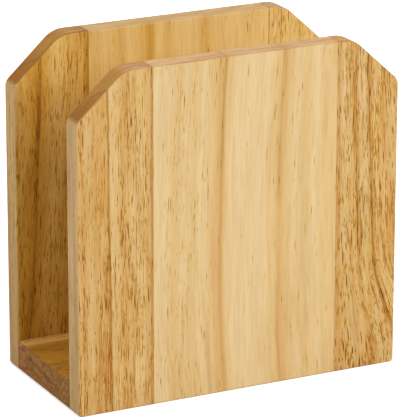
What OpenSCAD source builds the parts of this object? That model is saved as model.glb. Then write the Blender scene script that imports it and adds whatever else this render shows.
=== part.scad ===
// Napkin holder: two upright panels with clipped top corners, doweled and glued to a base board.
// Each board is edge-glued from staves. Lengths are in millimetres.
// X runs along the panels, Y from the front panel to the rear one, Z up.
// The origin is on the table, under the middle of the holder.

/* [Holder] */
// Length of the panels and of the base
panel_w = 178; // [150:1:240]
// Height of the panels
panel_h = 175; // [120:1:220]
// Clear gap between the panels
gap_d = 62; // [48:1:100]

/* [Panels] */
// Thickness of a panel
panel_t = 12; // [10:0.5:18]
// How far a clip runs along the top edge
clip_w = 26; // [14:1:40]
// How far a clip drops down the side edge
clip_h = 24; // [14:1:40]
// Outline radius where a clip meets the top edge
clip_top_r = 15; // [6:1:20]
// Outline radius where a clip meets the side edge
clip_side_r = 6; // [3:0.5:12]
// Outline radius of the bottom corners, which the base follows at its two ends
foot_r = 2; // [2:0.5:8]
// Easing radius along the edges of a panel
ease_r = 1; // [0.5:0.25:1.75]

/* [Staves] */
// Width of a panel's left stave, seen from the front
left_stave_w = 41; // [30:1:60]
// Width of a panel's right stave, seen from the front
right_stave_w = 35; // [30:1:60]
// Width of the base's rear stave
base_rear_stave_w = 9; // [6:1:14]
// Width of the base's front stave
base_front_stave_w = 23; // [20:1:30]

/* [Base] */
// Thickness of the base
base_t = 16; // [12:1:24]
// Easing radius along the top edge of the base's two ends
base_ease_r = 1; // [0.5:0.25:2]

/* [Dowel joints] */
// Dowels in each joint
dowel_count = 3; // [2:1:4]
// Diameter of a dowel
dowel_d = 8; // [5:0.5:10]
// Length of a dowel
dowel_l = 25; // [20:1:30]
// Depth of a dowel in its panel
dowel_in_panel = 8; // [6:0.5:8.5]
// Distance of the outer dowels from the ends of the joint
dowel_inset = 24; // [16:1:32]
// Chamfer at the ends of a dowel
dowel_chamfer = 0.8; // [0.4:0.1:1.2]
// Flutes round a dowel
flute_count = 12; // [8:1:16]
// Depth of a flute
flute_depth = 0.35; // [0.2:0.05:0.5]
// Radius of the cutter of a flute
flute_r = 0.6; // [0.5:0.05:0.8]
// Glue film round a dowel
glue_film = 0.05; // [0.02:0.01:0.1]
// Room for glue past each end of a dowel
glue_room = 0.5; // [0.3:0.1:1]

/* [Hidden] */
$fn = 64;
// Overrun of every cut past the face that it opens
overrun = 1;
// A corner's arc stands this far past tangency, and is eased by half as much more,
// so that its faces cross those of the sides at a slight angle
arc_lift = 0.02;
// Longer than any line across a panel
panel_reach = panel_w + panel_h;
dowel_in_base = dowel_l - dowel_in_panel;
dowel_pitch = (panel_w - 2 * dowel_inset) / (dowel_count - 1);
// Glue lines of the panels along X and of the base along Y
panel_lines = [-panel_w / 2, -panel_w / 2 + left_stave_w, panel_w / 2 - right_stave_w, panel_w / 2];
base_lines = [-gap_d / 2, -gap_d / 2 + base_front_stave_w, gap_d / 2 - base_rear_stave_w, gap_d / 2];

// Outline of a panel, counter-clockwise from the left foot, and the radius of each corner
corners = [
    [-panel_w / 2, 0], [panel_w / 2, 0],
    [panel_w / 2, panel_h - clip_h], [panel_w / 2 - clip_w, panel_h],
    [-panel_w / 2 + clip_w, panel_h], [-panel_w / 2, panel_h - clip_h]
];
corner_radii = [foot_r, foot_r, clip_side_r, clip_top_r, clip_top_r, clip_side_r];
corner_count = len(corners);

function corner(i) = corners[i % corner_count];
function corner_r(i) = corner_radii[i % corner_count];
// Direction of the straight run that leaves corner i, and its unit vector
function run_dir(i) = corner(i + 1) - corner(i);
function run_unit(i) = run_dir(i) / norm(run_dir(i));
function run_angle(i) = atan2(run_dir(i).y, run_dir(i).x);
// Turn of the outline at corner i, from 0 to 180 degrees
function turn(i) = (run_angle(i) - run_angle(i + corner_count - 1) + 360) % 360;
// How far the arc at corner i starts before the corner
function setback(i) = corner_r(i) * tan(turn(i) / 2);
function arc_end(i) = corner(i) + run_unit(i) * setback(i);
function arc_centre(i) = arc_end(i) + [-run_unit(i).y, run_unit(i).x] * corner_r(i);

// Waste beside an eased edge: the edge is at the profile's origin, the wood at its lower left
module ease_profile(r) {
    difference() {
        translate([-r, -r]) square(r + overrun);
        translate([-r, -r]) circle(r);
    }
}

// Section of a panel across one side: the side at x = 0, the wood to its right, both edges eased
module side_section(r) {
    difference() {
        square([panel_reach, panel_t]);
        translate([0, panel_t]) mirror([1, 0]) ease_profile(r);
        mirror([1, 0]) mirror([0, 1]) ease_profile(r);
    }
}

// Slab that ends at the straight run from corner i, with the wood on the run's left
module run_slab(i) {
    translate(corner(i))
        rotate([90, 0, run_angle(i) + 90])
            linear_extrude(2 * panel_reach, center = true) side_section(ease_r);
}

// Waste outside the arc at corner i, turned about the arc's centre
module corner_waste(i) {
    translate(arc_centre(i))
        rotate(run_angle(i) - turn(i) - 90)
            rotate_extrude(angle = turn(i))
                difference() {
                    translate([corner_r(i) - ease_r, -overrun])
                        square([setback(i) + ease_r + overrun, panel_t + 2 * overrun]);
                    translate([corner_r(i) + arc_lift, 0])
                        mirror([1, 0]) side_section(ease_r + arc_lift / 2);
                }
}

// The places below are worked out lying flat: a joint's face is at height zero, the panel above it
module stand_in_front() {
    translate([0, -gap_d / 2, 0]) rotate([90, 0, 0]) children();
}

module stand_behind() {
    mirror([0, 1, 0]) stand_in_front() children();
}

module at_dowels() {
    for (i = [0:dowel_count - 1])
        translate([-panel_w / 2 + dowel_inset + i * dowel_pitch, base_t / 2, 0]) children();
}

// Blind bores of a joint, on both sides of its face
module joint_bores() {
    at_dowels()
        translate([0, 0, -dowel_in_base - glue_room])
            cylinder(h = dowel_l + 2 * glue_room, d = dowel_d + 2 * glue_film);
}

module panel() {
    difference() {
        intersection_for (i = [0:corner_count - 1]) run_slab(i);
        for (i = [0:corner_count - 1]) corner_waste(i);
        joint_bores();
    }
}

// The stave of a panel between two of its glue lines
module panel_stave(i) {
    intersection() {
        panel();
        translate([panel_lines[i], 0, 0])
            cube([panel_lines[i + 1] - panel_lines[i], panel_h, panel_t]);
    }
}

module base() {
    difference() {
        translate([-panel_w / 2, -gap_d / 2, 0]) cube([panel_w, gap_d, base_t]);
        for (side = [0, 1], face = [0, 1])
            mirror([side, 0, 0])
                translate([panel_w / 2, 0, face * base_t])
                    mirror([0, 0, 1 - face])
                        rotate([90, 0, 0])
                            linear_extrude(gap_d + 2 * overrun, center = true)
                                ease_profile([foot_r, base_ease_r][face]);
        stand_in_front() joint_bores();
        stand_behind() joint_bores();
    }
}

// The stave of the base between two of its glue lines
module base_stave(i) {
    intersection() {
        base();
        translate([-panel_w / 2, base_lines[i], 0])
            cube([panel_w, base_lines[i + 1] - base_lines[i], base_t]);
    }
}

// Fluted dowel with chamfered ends, across the joint's face
module dowel() {
    translate([0, 0, -dowel_in_base])
        intersection() {
            linear_extrude(dowel_l)
                difference() {
                    circle(d = dowel_d);
                    for (i = [0:flute_count - 1])
                        rotate(i * 360 / flute_count)
                            translate([dowel_d / 2 + flute_r - flute_depth, 0]) circle(flute_r);
                }
            rotate_extrude()
                polygon([
                    [0, 0],
                    [dowel_d / 2 - dowel_chamfer, 0],
                    [dowel_d / 2 + overrun, dowel_chamfer + overrun],
                    [dowel_d / 2 + overrun, dowel_l - dowel_chamfer - overrun],
                    [dowel_d / 2 - dowel_chamfer, dowel_l],
                    [0, dowel_l]
                ]);
        }
}

module front_panel_left_stave() { color([0.87, 0.70, 0.44]) stand_in_front() panel_stave(0); }
module front_panel_middle_stave() { color([0.91, 0.79, 0.60]) stand_in_front() panel_stave(1); }
module front_panel_right_stave() { color([0.84, 0.66, 0.38]) stand_in_front() panel_stave(2); }
module rear_panel_left_stave() { color([0.80, 0.61, 0.35]) stand_behind() panel_stave(0); }
module rear_panel_middle_stave() { color([0.84, 0.67, 0.43]) stand_behind() panel_stave(1); }
module rear_panel_right_stave() { color([0.78, 0.59, 0.33]) stand_behind() panel_stave(2); }
module base_front_stave() { color([0.60, 0.42, 0.25]) base_stave(0); }
module base_middle_stave() { color([0.64, 0.46, 0.27]) base_stave(1); }
module base_rear_stave() { color([0.74, 0.56, 0.35]) base_stave(2); }
module front_dowels() { color([0.88, 0.76, 0.58]) stand_in_front() at_dowels() dowel(); }
module rear_dowels() { color([0.88, 0.76, 0.58]) stand_behind() at_dowels() dowel(); }

front_panel_left_stave();
front_panel_middle_stave();
front_panel_right_stave();
rear_panel_left_stave();
rear_panel_middle_stave();
rear_panel_right_stave();
base_rear_stave();
base_middle_stave();
base_front_stave();
front_dowels();
rear_dowels();
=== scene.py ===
import bpy
from math import cos, radians, sin
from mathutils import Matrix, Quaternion, Vector


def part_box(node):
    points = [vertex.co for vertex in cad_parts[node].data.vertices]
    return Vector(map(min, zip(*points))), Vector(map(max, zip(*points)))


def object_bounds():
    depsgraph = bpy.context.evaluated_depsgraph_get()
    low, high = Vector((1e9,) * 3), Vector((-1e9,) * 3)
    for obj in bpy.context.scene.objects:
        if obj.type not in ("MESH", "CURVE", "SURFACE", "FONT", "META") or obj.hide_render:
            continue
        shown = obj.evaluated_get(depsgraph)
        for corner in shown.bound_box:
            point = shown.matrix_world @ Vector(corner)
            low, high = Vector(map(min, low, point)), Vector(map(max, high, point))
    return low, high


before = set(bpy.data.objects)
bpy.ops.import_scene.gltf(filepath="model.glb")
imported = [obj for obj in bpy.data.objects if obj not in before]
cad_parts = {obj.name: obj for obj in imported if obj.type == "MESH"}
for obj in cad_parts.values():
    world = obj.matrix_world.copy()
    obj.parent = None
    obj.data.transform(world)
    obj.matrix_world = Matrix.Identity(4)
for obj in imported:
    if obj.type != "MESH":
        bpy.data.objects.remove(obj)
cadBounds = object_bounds()
lowest, highest = cadBounds
mm = 0.001


# a colour on the screen's scale of 0 to 255, in linear light
def linear(tone, alpha=1.0):
    parts = [channel / 255 for channel in tone]
    return [c / 12.92 if c <= 0.04045 else ((c + 0.055) / 1.055) ** 2.4 for c in parts] + [alpha]


def addNode(tree, kind, **settings):
    made = tree.nodes.new(kind)
    for key, value in settings.items():
        setattr(made, key, value)
    return made


def feed(tree, socket, value):
    if isinstance(value, bpy.types.NodeSocket):
        tree.links.new(value, socket)
    else:
        socket.default_value = value


def calc(tree, operation, *values, clamp=False):
    made = addNode(tree, "ShaderNodeMath", operation=operation, use_clamp=clamp)
    for socket, value in zip(made.inputs, values):
        feed(tree, socket, value)
    return made.outputs[0]


def total(tree, *values):
    result = values[0]
    for value in values[1:]:
        result = calc(tree, "ADD", result, value)
    return result


def product(tree, *values):
    result = values[0]
    for value in values[1:]:
        result = calc(tree, "MULTIPLY", result, value)
    return result


def largest(tree, *values):
    result = values[0]
    for value in values[1:]:
        result = calc(tree, "MAXIMUM", result, value)
    return result


def ease(tree, value, low, high, start=0.0, end=1.0):
    made = addNode(tree, "ShaderNodeMapRange", interpolation_type="SMOOTHSTEP")
    for socket, number in zip(made.inputs, (value, low, high, start, end)):
        feed(tree, socket, number)
    return made.outputs[0]


def joinAxes(tree, x, y, z):
    made = addNode(tree, "ShaderNodeCombineXYZ")
    for socket, value in zip(made.inputs, (x, y, z)):
        feed(tree, socket, value)
    return made.outputs[0]


def splitAxes(tree, vector):
    made = addNode(tree, "ShaderNodeSeparateXYZ")
    feed(tree, made.inputs[0], vector)
    return made.outputs


def vectorCalc(tree, operation, first, second):
    made = addNode(tree, "ShaderNodeVectorMath", operation=operation)
    feed(tree, made.inputs[0], first)
    feed(tree, made.inputs[1], second)
    return made.outputs["Value" if operation in ("DOT_PRODUCT", "DISTANCE") else "Vector"]


def noise(tree, vector, sizes, detail=2.0, roughness=0.5):
    made = addNode(tree, "ShaderNodeTexNoise")
    feed(tree, made.inputs["Vector"], vectorCalc(tree, "DIVIDE", vector, sizes))
    made.inputs["Scale"].default_value = 1
    made.inputs["Detail"].default_value = detail
    made.inputs["Roughness"].default_value = roughness
    return made.outputs[0]


def blend(tree, share, first, second, mode="MIX"):
    made = addNode(tree, "ShaderNodeMix", data_type="RGBA", blend_type=mode)
    feed(tree, made.inputs[0], share)
    feed(tree, made.inputs[6], first)
    feed(tree, made.inputs[7], second)
    return made.outputs[2]


def newMaterial(name):
    material = bpy.data.materials.new(name)
    material.use_nodes = True
    material.node_tree.nodes.clear()
    return material, material.node_tree


def makeGroup(name, takes, gives):
    tree = bpy.data.node_groups.new(name, "ShaderNodeTree")
    for label, kind in takes.items():
        tree.interface.new_socket(name=label, in_out="INPUT", socket_type="NodeSocket" + kind)
    for label in gives:
        tree.interface.new_socket(name=label, in_out="OUTPUT", socket_type="NodeSocketFloat")
    return tree, addNode(tree, "NodeGroupInput").outputs, addNode(tree, "NodeGroupOutput").inputs


def useGroup(tree, group, **values):
    made = addNode(tree, "ShaderNodeGroup", node_tree=group)
    for label, value in values.items():
        feed(tree, made.inputs[label], value)
    return made.outputs


def aimAlong(piece, direction, roll=0.0):
    piece.rotation_mode = "QUATERNION"
    piece.rotation_quaternion = Quaternion(direction, radians(roll)) @ direction.to_track_quat("-Z", "Y")
    bpy.context.scene.collection.objects.link(piece)


# camera
camera = {
    "place": (-0.7410, -1.4760, 0.6248),  # metres
    "yaw": 26.63,  # degrees, from straight ahead towards the right
    "pitch": 18.17,  # degrees downwards
    "roll": -0.05,  # degrees
    "lens": 294.2,  # mm
    "sensor": 36,  # mm
    "nearest": 0.05,  # metres
}

yaw, pitch = radians(camera["yaw"]), radians(camera["pitch"])
lensData = bpy.data.cameras.new("holderCamera")
lensData.lens = camera["lens"]
lensData.sensor_width = camera["sensor"]
lensData.clip_start = camera["nearest"]
viewer = bpy.data.objects.new("holderCamera", lensData)
viewer.location = camera["place"]
aimAlong(viewer, Vector((sin(yaw) * cos(pitch), cos(yaw) * cos(pitch), -sin(pitch))), camera["roll"])
bpy.context.scene.camera = viewer
bpy.context.scene.view_settings.view_transform = "Standard"

# white surroundings: full white to the camera and in reflections, softer as a lamp
studio = {
    "skyLevel": 0.22,
    "lamps": {  # place in metres, width in metres, power in watts
        "keyLamp": ((0.55, -1.35, 0.95), 0.9, 15.2),
        "topLamp": ((-0.1, 0.15, 1.5), 1.0, 11.0),
        "leftLamp": ((-1.35, -0.45, 0.6), 0.8, 3.2),
        "backLamp": ((0.8, 1.45, 0.2), 0.8, 7.0),
    },
}

world = bpy.data.worlds.new("whiteStudio")
bpy.context.scene.world = world
world.use_nodes = True
sky = world.node_tree
sky.nodes.clear()
rays = addNode(sky, "ShaderNodeLightPath").outputs
seen = largest(sky, rays["Is Camera Ray"], rays["Is Glossy Ray"], rays["Is Transmission Ray"])
glow = addNode(sky, "ShaderNodeBackground")
glow.inputs["Color"].default_value = (1, 1, 1, 1)
feed(sky, glow.inputs["Strength"], ease(sky, seen, 0.0, 1.0, studio["skyLevel"], 1.0))
sky.links.new(glow.outputs[0], addNode(sky, "ShaderNodeOutputWorld").inputs["Surface"])

for name, (place, size, power) in studio["lamps"].items():
    lamp = bpy.data.lights.new(name, "AREA")
    lamp.size = size
    lamp.energy = power
    softbox = bpy.data.objects.new(name, lamp)
    softbox.location = place
    softbox.visible_glossy = name != "backLamp"  # no glare on the top edges
    aimAlong(softbox, (lowest + highest) / 2 - Vector(place))

# floor: a pale plain sheet with a glow that only the camera sees, so that it stays white
floorLook = {
    "reach": 6.0,  # metres from the middle to each side
    "tone": (246, 246, 246),
    "nearGlow": 0.6,
    "farGlow": 1.0,
    "near": 0.35,  # metres from the holder
    "far": 1.4,
}

reach = floorLook["reach"]
floorMesh = bpy.data.meshes.new("floor")
floorCorners = [(-reach, -reach, 0), (reach, -reach, 0), (reach, reach, 0), (-reach, reach, 0)]
floorMesh.from_pydata(floorCorners, [], [(0, 1, 2, 3)])
floor = bpy.data.objects.new("floor", floorMesh)
bpy.context.scene.collection.objects.link(floor)
floorFinish, tree = newMaterial("paleFloor")
away = addNode(tree, "ShaderNodeVectorMath", operation="LENGTH")
feed(tree, away.inputs[0], addNode(tree, "ShaderNodeTexCoord").outputs["Object"])
floorGlow = ease(tree, away.outputs["Value"], floorLook["near"], floorLook["far"],
                 floorLook["nearGlow"], floorLook["farGlow"])
matt = addNode(tree, "ShaderNodeBsdfDiffuse")
matt.inputs["Color"].default_value = linear(floorLook["tone"])
lift = addNode(tree, "ShaderNodeEmission")
lift.inputs["Color"].default_value = (1, 1, 1, 1)
cameraSees = addNode(tree, "ShaderNodeLightPath").outputs["Is Camera Ray"]
feed(tree, lift.inputs["Strength"], calc(tree, "MULTIPLY", cameraSees, floorGlow))
both = addNode(tree, "ShaderNodeAddShader")
tree.links.new(matt.outputs[0], both.inputs[0])
tree.links.new(lift.outputs[0], both.inputs[1])
tree.links.new(both.outputs[0], addNode(tree, "ShaderNodeOutputMaterial").inputs["Surface"])
floorMesh.materials.append(floorFinish)
print("camera, lamps and floor ready")

# wood is read in millimetres: across a board, through its thickness and along its grain.
# Sizes come in that order, and a pair of limits says where a mask starts and where it is full.
tones = {
    "cream": (234, 206, 154),
    "straw": (231, 198, 140),
    "tan": (224, 183, 119),
    "honey": (213, 169, 100),
    "butter": (248, 214, 144),
    "sunny": (246, 210, 136),
    "maize": (238, 195, 112),
    "saffron": (226, 176, 80),
    "ochre": (205, 160, 72),
    "toffee": (198, 149, 61),
    "brown": (183, 135, 56),
    "umber": (163, 117, 40),
}

stainAndShade = {  # each multiplies the tone below it, apart from the glue line
    "fibre": (218, 188, 132),  # darker fibres
    "flush": (238, 218, 170),  # between crowded pores
    "halo": (248, 236, 186),  # close round a pore
    "poreEdge": (210, 177, 84),
    "pore": (170, 130, 46),
    "ring": (190, 141, 94),  # late wood, mottle and dark lines on end grain
    "foot": (196, 188, 70),  # painted shade at the foot of a board
    "glueLine": (118, 76, 34),
}

fibres = {  # size in mm, limits, how much it darkens
    "fibre": ((0.5, 0.8, 14), (0.35, 0.75), 0.32),
    "line": ((1.6, 2.2, 38), (0.42, 0.72), 0.24),
    "cloud": ((9, 12, 90), (0.42, 0.75), 0.26),
    "layer": ((30, 2.4, 90), (0.42, 0.68), 0.75),  # only on the side edges
}

grainWander = {  # size in mm, sideways push in mm
    "broad": ((60, 60, 240), 4.0),
    "middle": ((16, 16, 85), 1.0),
    "fine": ((5, 5, 20), 0.7),
}

pores = {
    "long": ((0.58, 0.58, 12), 0.36),  # cell in mm, radius as a share of the cell
    "slim": ((0.46, 0.46, 6.5), 0.37),
    "short": ((0.46, 0.46, 3.6), 0.38),
    "shortShare": 0.62,
    "radiusSpread": (0.55, 1.2),
    "edge": (1.0, 0.6),  # in radii from the middle
    "haloEdge": (2.4, 0.9),
    "faintest": 0.35,
    "faintBias": 1.5,  # above 1, more of them are faint
    "kept": 0.58,  # cells that hold a pore where the bands say 1
    "flock": (5, 5, 42),  # drifts of pores
    "flockLimits": (0.3, 0.62),
    "flockSpread": (0.4, 1.15),
    "fleck": (0.45, 0.6, 10),
    "hair": (0.38, 0.6, 26),
    "fleckStart": 0.75,
    "fleckGain": 0.17,  # how much sooner they start where pores crowd
    "fleckEdge": 0.12,
    "fleckShare": 0.35,
    "flushLimits": (0.2, 1.1),
    "flushShare": 0.3,
    "outerLimits": (0.0, 0.5),  # of a pore's mask, for its edge and for its core
    "coreLimits": (0.3, 0.9),
}

streakLook = {
    "fadeShare": 0.4,  # of the length, at each end
    "longestFade": 14.0,  # mm
    "breaks": (3, 3, 16),  # stretches where a streak is fainter
    "breakLimits": (0.3, 0.6),
    "faintest": 0.35,
}

yearRings = {
    "ripple": 2.2,  # mm
    "rippleSize": (9, 9, 120),
    "strengths": (0.3, 1.25),  # of the faintest year and of the darkest
    "rise": (0.25, 0.86),  # shares of a year's growth
    "fall": (1.0, 0.9),
}

endGrain = {
    "evenness": 0.6,  # how far the figure gives way to the stave's mean tone
    "poreShare": 0.6,  # strength that pores keep
    "mottleLimits": (0.35, 0.7),
    "markShare": 0.7,  # strength that streaks keep
}

# how far a surface turns one way, from 0 to 1, where each kind of cut starts to show and shows in full
facing = {
    "cutAcross": (0.25, 0.62),
    "cutSquare": (0.86, 0.95),
    "cutEased": (0.1, 0.35),  # an edge that turns towards the board's face
    "beside": (0.6, 0.95),
}

shade = {  # shares of the height where the shade of the foot starts to fade and where it ends
    "face": (0.1, 1.05),
    "side": (0.05, 0.5),
}

glueSeam = {
    "limits": (0.3, 0.08),  # mm from the joint
    "share": 0.2,
}

finish = {
    "roughness": 0.46,
    "fibreLimits": (0.3, 0.7),
    "fibreRoughness": (-0.04, 0.05),  # added between the fibres and on them
    "endRoughness": 0.12,  # added on end grain
    "poreRoughness": 0.2,  # added in pores
    "specular": 0.12,
    "coat": 0.06,
    "coatRoughness": 0.25,
    "relief": 0.00006,  # metres
    "reliefStrength": 0.8,
    "reliefLimits": (0.2, 0.8),
    "fibreRelief": 0.35,  # as a share of a pore's depth
}


def buildWander():
    tree = bpy.data.node_groups.new("grainWander", "ShaderNodeTree")
    tree.interface.new_socket(name="Vector", in_out="INPUT", socket_type="NodeSocketVector")
    tree.interface.new_socket(name="Amount", in_out="INPUT", socket_type="NodeSocketFloat")
    tree.interface.new_socket(name="Vector", in_out="OUTPUT", socket_type="NodeSocketVector")
    takes = addNode(tree, "NodeGroupInput").outputs
    push = 0.0
    for sizes, amount in grainWander.values():
        wave = calc(tree, "SUBTRACT", noise(tree, takes["Vector"], sizes, detail=1), 0.5)
        push = calc(tree, "MULTIPLY_ADD", wave, amount, push)
    push = product(tree, push, takes["Amount"])
    moved = vectorCalc(tree, "ADD", takes["Vector"], joinAxes(tree, push, push, 0.0))
    feed(tree, addNode(tree, "NodeGroupOutput").inputs["Vector"], moved)
    return tree


def buildPores():
    takes = {"Vector": "Vector", "Size": "Vector", "Radius": "Float", "Density": "Float"}
    tree, takes, gives = makeGroup("woodPores", takes, ["Mask", "Halo"])
    cells = addNode(tree, "ShaderNodeTexVoronoi", voronoi_dimensions="3D", feature="F1")
    feed(tree, cells.inputs["Vector"], vectorCalc(tree, "DIVIDE", takes["Vector"], takes["Size"]))
    cells.inputs["Scale"].default_value = 1
    lots = splitAxes(tree, cells.outputs["Color"])
    kept = calc(tree, "LESS_THAN", lots[0], takes["Density"])
    radius = product(tree, takes["Radius"], ease(tree, lots[1], 0.0, 1.0, *pores["radiusSpread"]))
    depth = calc(tree, "DIVIDE", cells.outputs["Distance"], radius)
    faintest = pores["faintest"]
    biased = calc(tree, "POWER", lots[2], pores["faintBias"])
    strength = calc(tree, "MULTIPLY_ADD", biased, 1 - faintest, faintest)
    feed(tree, gives["Mask"], product(tree, ease(tree, depth, *pores["edge"]), kept, strength))
    feed(tree, gives["Halo"], product(tree, ease(tree, depth, *pores["haloEdge"]), kept))
    return tree


def buildStreak():
    labels = ("Across", "Along", "Broken", "At", "HalfWidth", "From", "To", "Strength")
    tree, takes, gives = makeGroup("woodStreak", dict.fromkeys(labels, "Float"), ["Mask"])
    aside = calc(tree, "ABSOLUTE", calc(tree, "SUBTRACT", takes["Across"], takes["At"]))
    aside = calc(tree, "DIVIDE", aside, takes["HalfWidth"])
    length = calc(tree, "SUBTRACT", takes["To"], takes["From"])
    fade = calc(tree, "MINIMUM", product(tree, length, streakLook["fadeShare"]), streakLook["longestFade"])
    low = calc(tree, "SUBTRACT", takes["Along"], takes["From"])
    high = calc(tree, "SUBTRACT", takes["To"], takes["Along"])
    mask = product(
        tree,
        ease(tree, aside, 1.0, 0.0),
        ease(tree, low, 0.0, fade),
        ease(tree, high, 0.0, fade),
        ease(tree, takes["Broken"], *streakLook["breakLimits"], streakLook["faintest"], 1.0),
        takes["Strength"],
    )
    feed(tree, gives["Mask"], mask)
    return tree


def buildRings():
    takes = {"Vector": "Vector", "Pith": "Vector", "Width": "Float"}
    tree, takes, gives = makeGroup("growthRings", takes, ["Tone"])
    flat = vectorCalc(tree, "MULTIPLY", takes["Vector"], (1, 1, 0))
    ripple = noise(tree, takes["Vector"], yearRings["rippleSize"], detail=1)
    far = vectorCalc(tree, "DISTANCE", flat, takes["Pith"])
    far = calc(tree, "MULTIPLY_ADD", ripple, yearRings["ripple"], far)
    years = calc(tree, "DIVIDE", far, takes["Width"])
    phase = calc(tree, "FRACT", years)
    lot = addNode(tree, "ShaderNodeTexWhiteNoise", noise_dimensions="1D")
    feed(tree, lot.inputs["W"], calc(tree, "FLOOR", years))
    strength = ease(tree, lot.outputs["Value"], 0.0, 1.0, *yearRings["strengths"])
    rise = ease(tree, phase, *yearRings["rise"])
    fall = ease(tree, phase, *yearRings["fall"])
    feed(tree, gives["Tone"], product(tree, rise, fall, strength))
    return tree


groups = {"wander": buildWander(), "pores": buildPores(), "streak": buildStreak(), "rings": buildRings()}
print("wood patterns ready")

curveRoom = 2.2  # height of the drift's curve, in largest shifts


# the figure drifts sideways along the board, more on the side where the fan says so
def bendGrain(tree, stave, place, height):
    across, through, along = splitAxes(tree, place)
    curve = addNode(tree, "ShaderNodeFloatCurve")
    points = curve.mapping.curves[0].points
    swing = curveRoom * max(abs(shift) for share, shift in stave["drift"]) or 1.0
    levels = [(share, 0.5 + shift / swing) for share, shift in stave["drift"]]
    for share, level in levels[1:-1]:
        points.new(share, level)
    points[0].location = levels[0]
    points[len(points) - 1].location = levels[-1]
    curve.mapping.update()
    feed(tree, curve.inputs["Value"], height)
    fan = addNode(tree, "ShaderNodeMapRange")
    for socket, number in zip(fan.inputs, (across, *stave["span"], *stave["fan"])):
        feed(tree, socket, number)
    drift = product(tree, calc(tree, "SUBTRACT", curve.outputs[0], 0.5), swing, fan.outputs[0])
    seeded = calc(tree, "ADD", along, stave["seed"])
    straight = joinAxes(tree, calc(tree, "SUBTRACT", across, drift), through, seeded)
    return useGroup(tree, groups["wander"], Vector=straight, Amount=stave["wander"])["Vector"]


# bands of tone across the stave, with the crowding of the pores in their alpha
def paintBands(tree, stave, line):
    left, right = stave["span"]
    ramp = addNode(tree, "ShaderNodeValToRGB")
    ramp.color_ramp.interpolation = "EASE"
    stops = ramp.color_ramp.elements
    bands = [((at - left) / (right - left), linear(tones[tone], crowd)) for at, tone, crowd in stave["bands"]]
    for share, tint in bands[1:-1]:
        stops.new(share).color = tint
    for stop, (share, tint) in ((stops[0], bands[0]), (stops[len(stops) - 1], bands[-1])):
        stop.position = min(max(share, 0), 1)
        stop.color = tint
    feed(tree, ramp.inputs[0], calc(tree, "DIVIDE", calc(tree, "SUBTRACT", line, left), right - left))
    return ramp.outputs["Color"], ramp.outputs["Alpha"]


def findPores(tree, stave, grain, crowd, height):
    flock = ease(tree, noise(tree, grain, pores["flock"]), *pores["flockLimits"], *pores["flockSpread"])
    density = product(tree, crowd, flock, ease(tree, height, 0.0, 1.0, *stave["poresByHeight"]))
    kept = product(tree, density, pores["kept"])
    found = {}
    for kind in ("long", "slim", "short"):
        cell, radius = pores[kind]
        found[kind] = useGroup(tree, groups["pores"], Vector=grain, Size=cell, Radius=radius, Density=kept)
    flecks = [noise(tree, grain, pores[kind], detail=1) for kind in ("fleck", "hair")]
    start = calc(tree, "MULTIPLY_ADD", density, -pores["fleckGain"], pores["fleckStart"])
    above = calc(tree, "SUBTRACT", largest(tree, *flecks), start)
    mask = largest(
        tree,
        found["long"]["Mask"],
        found["slim"]["Mask"],
        product(tree, found["short"]["Mask"], pores["shortShare"]),
        ease(tree, above, 0.0, pores["fleckEdge"], 0.0, pores["fleckShare"]),
    )
    halo = largest(tree, found["long"]["Halo"], found["slim"]["Halo"])
    return density, product(tree, mask, stave["poreDepth"]), product(tree, halo, stave["poreDepth"])


def findStreaks(tree, stave, grain, line, along):
    broken = noise(tree, grain, streakLook["breaks"])
    marks = 0.0
    for at, halfWidth, start, end, strength in stave["streaks"]:
        mark = useGroup(tree, groups["streak"], Across=line, Along=along, Broken=broken, At=at,
                        HalfWidth=halfWidth, From=start, To=end, Strength=strength)["Mask"]
        marks = largest(tree, marks, mark)
    return marks


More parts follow.
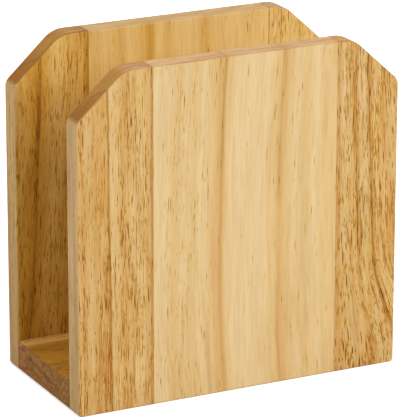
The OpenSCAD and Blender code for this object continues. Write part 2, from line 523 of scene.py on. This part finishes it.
def makeWood(name, stave):
    material, tree = newMaterial(name)
    coords = addNode(tree, "ShaderNodeTexCoord").outputs
    placed = addNode(tree, "ShaderNodeMapping")
    feed(tree, placed.inputs["Vector"], coords["Object"])
    placed.inputs["Location"].default_value = stave["origin"]
    placed.inputs["Rotation"].default_value = [radians(angle) for angle in stave["turn"]]
    placed.inputs["Scale"].default_value = (1 / mm, 1 / mm, 1 / mm)
    across, through, along = splitAxes(tree, placed.outputs[0])
    height = calc(tree, "DIVIDE", along, stave["length"])
    grain = bendGrain(tree, stave, placed.outputs[0], height)
    line = calc(tree, "MULTIPLY_ADD", through, stave["lean"], splitAxes(tree, grain)[0])

    # how far the surface faces along the grain, out of the board's face and to its side
    grainAxis, faceAxis = Vector(stave["grainAxis"]), Vector(stave["faceAxis"])
    turned = {}
    for side, axis in (("end", grainAxis), ("face", faceAxis), ("side", grainAxis.cross(faceAxis))):
        turned[side] = calc(tree, "ABSOLUTE", vectorCalc(tree, "DOT_PRODUCT", coords["Normal"], axis))
    cut = ease(tree, turned["end"], *facing["cutAcross"])
    eased = ease(tree, turned["face"], *facing["cutEased"])
    square = largest(tree, ease(tree, turned["end"], *facing["cutSquare"]), eased)
    beside = ease(tree, turned["side"], *facing["beside"])

    colour, crowd = paintBands(tree, stave, line)
    pith = (*stave["pith"], 0)
    rings = useGroup(tree, groups["rings"], Vector=grain, Pith=pith, Width=stave["ringWidth"])["Tone"]
    raw = {}
    dark = {}
    for kind, (sizes, limits, share) in fibres.items():
        raw[kind] = noise(tree, grain, sizes, roughness=0.6)
        dark[kind] = ease(tree, raw[kind], *limits, 0.0, share)
    darker = total(tree, dark["fibre"], dark["line"], dark["cloud"], product(tree, rings, stave["ringDepth"]))
    darker = product(tree, darker, stave["figure"])
    darker = calc(tree, "MULTIPLY_ADD", beside, dark["layer"], darker, clamp=True)
    colour = blend(tree, darker, colour, linear(stainAndShade["fibre"]), "MULTIPLY")
    # painted shade: the stave darkens towards its foot, and its side edges towards theirs
    footShare = ease(tree, height, *shade["face"], stave["paintedFootShade"], 0.0)
    sideShare = product(tree, beside, ease(tree, height, *shade["side"], stave["paintedSideFootShade"], 0.0))
    colour = blend(tree, largest(tree, footShare, sideShare), colour, linear(stainAndShade["foot"]), "MULTIPLY")

    density, poreMask, halo = findPores(tree, stave, grain, crowd, height)
    poreMask = product(tree, poreMask, ease(tree, cut, 0.0, 1.0, 1.0, endGrain["poreShare"]))
    flush = ease(tree, density, *pores["flushLimits"], 0.0, pores["flushShare"])
    colour = blend(tree, flush, colour, linear(stainAndShade["flush"]), "MULTIPLY")
    colour = blend(tree, halo, colour, linear(stainAndShade["halo"]), "MULTIPLY")
    marks = findStreaks(tree, stave, grain, line, along)
    colour = blend(tree, marks, colour, linear(tones["umber"]))
    for limits, layer in ((pores["outerLimits"], "poreEdge"), (pores["coreLimits"], "pore")):
        colour = blend(tree, ease(tree, poreMask, *limits), colour, linear(stainAndShade[layer]), "MULTIPLY")

    # end grain: square across the fibres, or slanting, where it is darker towards the foot of the slant; the
    # dark slanting tone is partly the end grain's own and partly painted shade
    low, high = stave["slant"]
    slantShare = ease(tree, along, low, high)
    slantTone = blend(tree, slantShare, linear(stave["slantLow"]), linear(stave["slantHigh"]))
    ringShare = product(tree, rings, stave["ringShow"])
    squareTone = blend(tree, ringShare, linear(stave["squareCut"]), linear(stainAndShade["ring"]), "MULTIPLY")
    endTone = blend(tree, square, slantTone, squareTone)
    mottle = noise(tree, grain, stave["mottle"], detail=3, roughness=0.6)
    mottle = ease(tree, mottle, *endGrain["mottleLimits"], 0.0, stave["mottleShare"])
    darkShare = largest(tree, mottle, product(tree, marks, endGrain["markShare"]))
    endTone = blend(tree, darkShare, endTone, linear(stainAndShade["ring"]), "MULTIPLY")
    evened = blend(tree, endGrain["evenness"], colour, linear(tones[stave["mean"]]))
    colour = blend(tree, cut, colour, blend(tree, 1.0, evened, endTone, "MULTIPLY"))
    colour = blend(tree, product(tree, beside, stave["sidePaleness"]), colour, linear(tones["cream"]))
    for seam in stave["seams"]:
        nearSeam = calc(tree, "ABSOLUTE", calc(tree, "SUBTRACT", across, seam))
        seamShare = ease(tree, nearSeam, *glueSeam["limits"], 0.0, glueSeam["share"])
        colour = blend(tree, seamShare, colour, linear(stainAndShade["glueLine"]))

    fibreRough = ease(tree, raw["fibre"], *finish["fibreLimits"], *finish["fibreRoughness"])
    rough = total(tree, finish["roughness"], fibreRough, product(tree, cut, finish["endRoughness"]))
    rough = calc(tree, "MULTIPLY_ADD", poreMask, finish["poreRoughness"], rough)
    bump = addNode(tree, "ShaderNodeBump")
    bump.inputs["Strength"].default_value = finish["reliefStrength"]
    bump.inputs["Distance"].default_value = finish["relief"]
    ridges = ease(tree, raw["fibre"], *finish["reliefLimits"], 0.0, finish["fibreRelief"])
    feed(tree, bump.inputs["Height"], calc(tree, "SUBTRACT", ridges, poreMask))

    shader = addNode(tree, "ShaderNodeBsdfPrincipled")
    feed(tree, shader.inputs["Base Color"], colour)
    feed(tree, shader.inputs["Roughness"], rough)
    feed(tree, shader.inputs["Normal"], bump.outputs[0])
    shader.inputs["Specular IOR Level"].default_value = finish["specular"]
    shader.inputs["Coat Weight"].default_value = finish["coat"]
    shader.inputs["Coat Roughness"].default_value = finish["coatRoughness"]
    tree.links.new(shader.outputs[0], addNode(tree, "ShaderNodeOutputMaterial").inputs["Surface"])
    return material


def alongX(node):
    return [(corner.x - lowest.x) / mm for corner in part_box(node)]


def alongY(node, start):
    return [(corner.y - start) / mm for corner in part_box(node)]


# what every stave of a board shares; a stave's own values come after and win
plain = {
    "figure": 1.0,  # how much fibres, lines, clouds and rings darken
    "poreDepth": 1.0,  # how much pores darken
    "paintedFootShade": 0.0,  # painted shade at the foot of the stave
    "paintedSideFootShade": 0.0,  # painted shade at the foot of its side edges alone
    "sidePaleness": 0.0,  # how far its side edges turn to cream
    "ringShow": 0.12,  # rings on end grain
    "mottleShare": 0.45,  # mottle on end grain
    "poresByHeight": (1, 1),  # at the foot and at the top
    "fan": (1, 1),  # share of the drift at the left and at the right
    "lean": 0.0,  # mm sideways for each mm of depth
    "mean": "honey",  # tone that end grain tends to
}
clipShade = {"belowTop": 23, "height": 18}  # mm: where a clip's tone starts to change, and over what height
panelHeight = (highest.z - lowest.z) / mm
shadeFoot = panelHeight - clipShade["belowTop"]
panelLook = {
    **plain,
    "turn": (0, 0, 0),
    "grainAxis": (0, 0, 1),
    "faceAxis": (0, 1, 0),
    "length": panelHeight,
    "slant": (shadeFoot, shadeFoot + clipShade["height"]),
    "mottle": (26, 1.3, 90),
}
frontPanel = {
    **panelLook,
    "origin": (-lowest.x / mm, -lowest.y / mm, 0),
    # the clip's tone at its foot and top: dark partly as end grain and partly as painted shade
    "slantLow": (190, 154, 46),
    "slantHigh": (228, 209, 156),
    "squareCut": (236, 226, 224),
    "sidePaleness": 0.26,
}
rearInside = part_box("rear_panel_middle_stave")[0].y
rearPanel = {
    **panelLook,
    "origin": (-lowest.x / mm, -rearInside / mm, 0),
    # the clip's tone at its foot and top: dark partly as end grain and partly as painted shade
    "slantLow": (199, 161, 50),
    "slantHigh": (217, 199, 152),
    "squareCut": (217, 213, 228),
    "sidePaleness": 0.3,
}
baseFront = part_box("base_front_stave")[0].y
baseBoard = {
    **plain,
    "origin": (-baseFront / mm, 0, -lowest.x / mm),
    "turn": (-90, -90, 0),
    "grainAxis": (1, 0, 0),
    "faceAxis": (0, 0, 1),
    "length": (highest.x - lowest.x) / mm,
    "slant": (0, 1),
    "mottle": (4, 2, 90),
    "slantLow": (214, 190, 150),
    "slantHigh": (214, 190, 150),
    "squareCut": (238, 238, 255),
    "ringShow": 0.45,
    "mottleShare": 0.7,
}

# seed: shift of the patterns along the grain in mm
# wander: how far the grain strays from straight
# pith: middle of the rings, across and through the board, in mm
# ringWidth: a year's growth in mm; ringDepth: how much rings darken the faces
# drift: share of the height, sideways shift in mm
# bands: place across the board in mm, tone, crowding of pores
# streaks: place across the board, half width, start and end along the grain in mm, strength
staves = {
    "front_panel_left_stave": {
        **frontPanel, "seed": 0, "wander": 0.7, "fan": (1, -0.3), "poresByHeight": (1.25, 0.85),
        "squareCut": (234, 223, 232), "pith": (30, -70), "ringWidth": 7, "ringDepth": 0.15, "lean": 0.7,
        "sidePaleness": 0.3, "paintedSideFootShade": 0.6,
        "drift": [(0, 2.6), (0.4, 1), (0.7, 0.3), (1, 0)],
        "bands": [(0, "tan", 0.4), (2, "tan", 0.5), (6, "straw", 0.45), (9, "tan", 0.6), (13, "tan", 0.8),
                  (15.6, "tan", 0.85), (16.8, "honey", 0.9), (18, "straw", 0.4), (21, "straw", 0.5),
                  (25, "tan", 0.9), (30, "straw", 0.8), (35, "straw", 0.6), (38.5, "tan", 0.5),
                  (41, "honey", 0.5)],
        "streaks": [(16.9, 0.7, -20, 200, 0.7), (27.2, 0.4, 110, 178, 0.7), (31.5, 0.4, 60, 150, 0.5),
                    (33.6, 0.3, 30, 150, 0.6), (35.4, 0.3, 50, 170, 0.5), (37.4, 0.4, 80, 140, 0.7),
                    (40.3, 0.9, -20, 190, 0.5), (10, 3, -60, 110, 0.1), (38, 2.6, -60, 70, 0.12)],
    },
    "front_panel_middle_stave": {
        **frontPanel, "seed": 300, "wander": 1.0, "figure": 0.7, "poreDepth": 0.62, "mean": "straw",
        "pith": (92, -90), "ringWidth": 11, "ringDepth": 0.12,
        "drift": [(0, -1), (0.4, -4), (0.6, -3.5), (1, 0)],
        "bands": [(41, "cream", 0.05), (50, "cream", 0.1), (55, "straw", 0.4), (60, "cream", 0.35),
                  (66, "straw", 0.3), (70, "cream", 0.2), (75, "straw", 0.1), (79, "tan", 0.08),
                  (81, "honey", 0.08), (83.2, "straw", 0.0), (86, "cream", 0.0), (94, "cream", 0.02),
                  (105, "cream", 0.02), (110, "straw", 0.05), (114.2, "tan", 0.05), (118.5, "straw", 0.08),
                  (122, "cream", 0.14), (128, "straw", 0.1), (133, "cream", 0.04), (139, "straw", 0.04),
                  (143, "straw", 0.03)],
        "streaks": [(57, 0.4, 120, 178, 0.5), (60, 0.35, 20, 60, 0.6), (81, 1.1, 110, 210, 0.35),
                    (113.6, 1.6, 90, 210, 0.3), (112.6, 1.6, -30, 60, 0.3), (115, 0.4, 150, 180, 0.5),
                    (73.5, 2, -50, 50, 0.25)],
    },
    "front_panel_right_stave": {
        **frontPanel, "seed": 620, "wander": 0.8, "fan": (0.1, 1), "poresByHeight": (1.0, 0.95),
        "figure": 0.75, "poreDepth": 1.2, "slantLow": (214, 184, 128), "slantHigh": (214, 190, 140),
        "pith": (150, -35), "ringWidth": 5.5, "ringDepth": 0.3,
        "drift": [(0, 19), (0.09, 18), (0.2, 14), (0.31, 9), (0.62, 4.5), (0.75, 2.5), (0.9, 0.3), (1, 0)],
        "bands": [(143, "tan", 0.8), (147, "cream", 0.75), (151, "straw", 0.9), (153.2, "tan", 1),
                  (155.5, "cream", 0.8), (158.5, "cream", 0.8), (160.5, "tan", 1), (163, "straw", 0.9),
                  (168, "tan", 0.9), (173, "straw", 1), (178, "tan", 1)],
        "streaks": [(144.2, 0.35, 60, 178, 0.7), (149, 0.3, 10, 60, 0.5), (153.2, 0.4, 40, 178, 0.8),
                    (156.5, 0.25, 80, 170, 0.5), (160.4, 0.6, -20, 200, 0.9), (162.2, 0.3, -20, 120, 0.6),
                    (165, 0.4, 0, 80, 0.6), (169, 0.3, -20, 60, 0.6), (172.5, 0.3, 20, 140, 0.5)],
    },
    # the rear staves' brighter, more golden tones are partly the wood's own and partly painted light, making
    # up for the lamp light that the front board keeps off their inner face
    "rear_panel_left_stave": {
        **rearPanel, "seed": 940, "wander": 1.0, "fan": (1, 0.4), "paintedFootShade": 0.48, "lean": 0.7,
        "mean": "ochre", "squareCut": (213, 209, 225), "pith": (20, 60), "ringWidth": 6, "ringDepth": 0.2,
        "drift": [(0, -11), (0.3, -7), (0.7, -2), (1, 0)],
        "bands": [(0, "straw", 0.3), (1.5, "tan", 0.5), (5, "maize", 0.7), (12.6, "saffron", 0.8),
                  (14.8, "ochre", 0.9), (16.5, "saffron", 0.6), (24, "sunny", 0.7), (31, "maize", 0.8),
                  (36.5, "maize", 0.6), (38.5, "saffron", 0.5), (41, "ochre", 0.4)],
        "streaks": [(15, 0.7, -20, 200, 0.8), (29.5, 0.4, 90, 178, 0.5), (39.8, 0.6, -20, 200, 0.6)],
    },
    "rear_panel_middle_stave": {
        **rearPanel, "seed": 1260, "wander": 1.0, "figure": 0.75, "poreDepth": 0.7, "mean": "sunny",
        "pith": (80, 80), "ringWidth": 10, "ringDepth": 0.15,
        "drift": [(0, -2), (0.5, 1), (1, 0)],
        "bands": [(41, "maize", 0.12), (50, "sunny", 0.06), (58, "maize", 0.1), (64, "sunny", 0.06),
                  (71, "maize", 0.1), (75.5, "saffron", 0.12), (80, "sunny", 0.06), (86, "maize", 0.06),
                  (92, "sunny", 0.03), (101, "sunny", 0.05), (107, "maize", 0.1), (113, "sunny", 0.06),
                  (126, "sunny", 0.1), (143, "sunny", 0.2)],
        "streaks": [(75, 0.6, 60, 190, 0.2), (107, 0.5, 60, 190, 0.2)],
    },
    "rear_panel_right_stave": {
        **rearPanel, "seed": 1580, "wander": 1.2, "fan": (0.6, 1), "figure": 0.5, "mean": "tan",
        "slantLow": (214, 184, 128), "slantHigh": (214, 190, 140),
        "pith": (155, 40), "ringWidth": 5, "ringDepth": 0.25, "poreDepth": 1.1,
        "drift": [(0, 5), (0.4, 1), (1, 0)],
        "bands": [(143, "butter", 0.8), (147, "butter", 0.6), (150.6, "sunny", 1.0), (153, "butter", 0.6),
                  (158, "butter", 0.7), (162, "maize", 1.0), (165, "butter", 0.6), (178, "butter", 0.8)],
        "streaks": [(143.8, 0.45, -20, 200, 0.8), (150.6, 0.4, 20, 200, 0.9), (156.5, 0.3, 60, 200, 0.6),
                    (162, 0.4, 20, 200, 0.8)],
    },
    "base_front_stave": {
        **baseBoard, "seed": 1900, "wander": 0.8, "pith": (-88, -54), "ringWidth": 3.2, "ringDepth": 0.35,
        "mean": "brown",
        "drift": [(0, 0), (0.5, 0.5), (1, 0)],
        "bands": [(0, "brown", 0.6), (7, "toffee", 0.7), (14, "toffee", 0.8), (20, "brown", 0.8),
                  (23, "brown", 0.8)],
        "streaks": [(21.8, 0.7, -20, 220, 0.55), (12, 0.5, -20, 150, 0.4)],
    },
    "base_middle_stave": {
        **baseBoard, "seed": 2220, "wander": 0.8, "pith": (50, -130), "ringWidth": 5.5, "ringDepth": 0.4,
        "mean": "brown",
        "drift": [(0, 0), (0.5, -0.5), (1, 0)],
        "bands": [(23, "brown", 0.7), (30, "toffee", 0.7), (38, "toffee", 0.8), (44, "brown", 0.8),
                  (53, "toffee", 0.6)],
        "streaks": [(31, 0.5, -20, 160, 0.4), (42, 0.6, -20, 220, 0.4)],
    },
    "base_rear_stave": {
        **baseBoard, "seed": 2540, "wander": 0.6, "pith": (70, 90), "ringWidth": 5, "ringDepth": 0.3,
        "mean": "honey", "squareCut": (218, 190, 172),
        "drift": [(0, 0), (0.5, 0.5), (1, 0)],
        "bands": [(53, "tan", 0.3), (57, "maize", 0.3), (62, "tan", 0.3)],
        "streaks": [],
    },
    "front_dowels": {
        **baseBoard, "seed": 2860, "wander": 0.5, "pith": (0, 60), "ringWidth": 2.5, "ringDepth": 0.2,
        "mean": "straw",
        "origin": (-lowest.x / mm, 0, 0), "turn": (90, 0, 0), "grainAxis": (0, 1, 0),
        "drift": [(0, 0), (0.5, 0), (1, 0)],
        "bands": [(0, "straw", 0.2), (90, "straw", 0.2), (178, "straw", 0.2)],
        "streaks": [],
    },
}
staves["rear_dowels"] = staves["front_dowels"]

seamMargin = 1  # mm: a stave's edge that is nearer than this to the board's own edge is no glue line
for nodeName, stave in staves.items():
    if nodeName.startswith("base"):
        stave["span"] = alongY(nodeName, baseFront)
        boardWidth = (rearInside - baseFront) / mm
    elif nodeName.endswith("stave"):
        stave["span"] = alongX(nodeName)
        boardWidth = (highest.x - lowest.x) / mm
    else:
        boardWidth = stave["length"]
        stave["span"] = [0, boardWidth]
    stave["seams"] = [edge for edge in stave["span"] if seamMargin < edge < boardWidth - seamMargin]
    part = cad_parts[nodeName]
    wood = makeWood(nodeName + "_wood", stave)
    if not part.material_slots:
        part.data.materials.append(wood)
    for slot in part.material_slots:
        slot.material = wood
print("wood on", len(staves), "pieces")
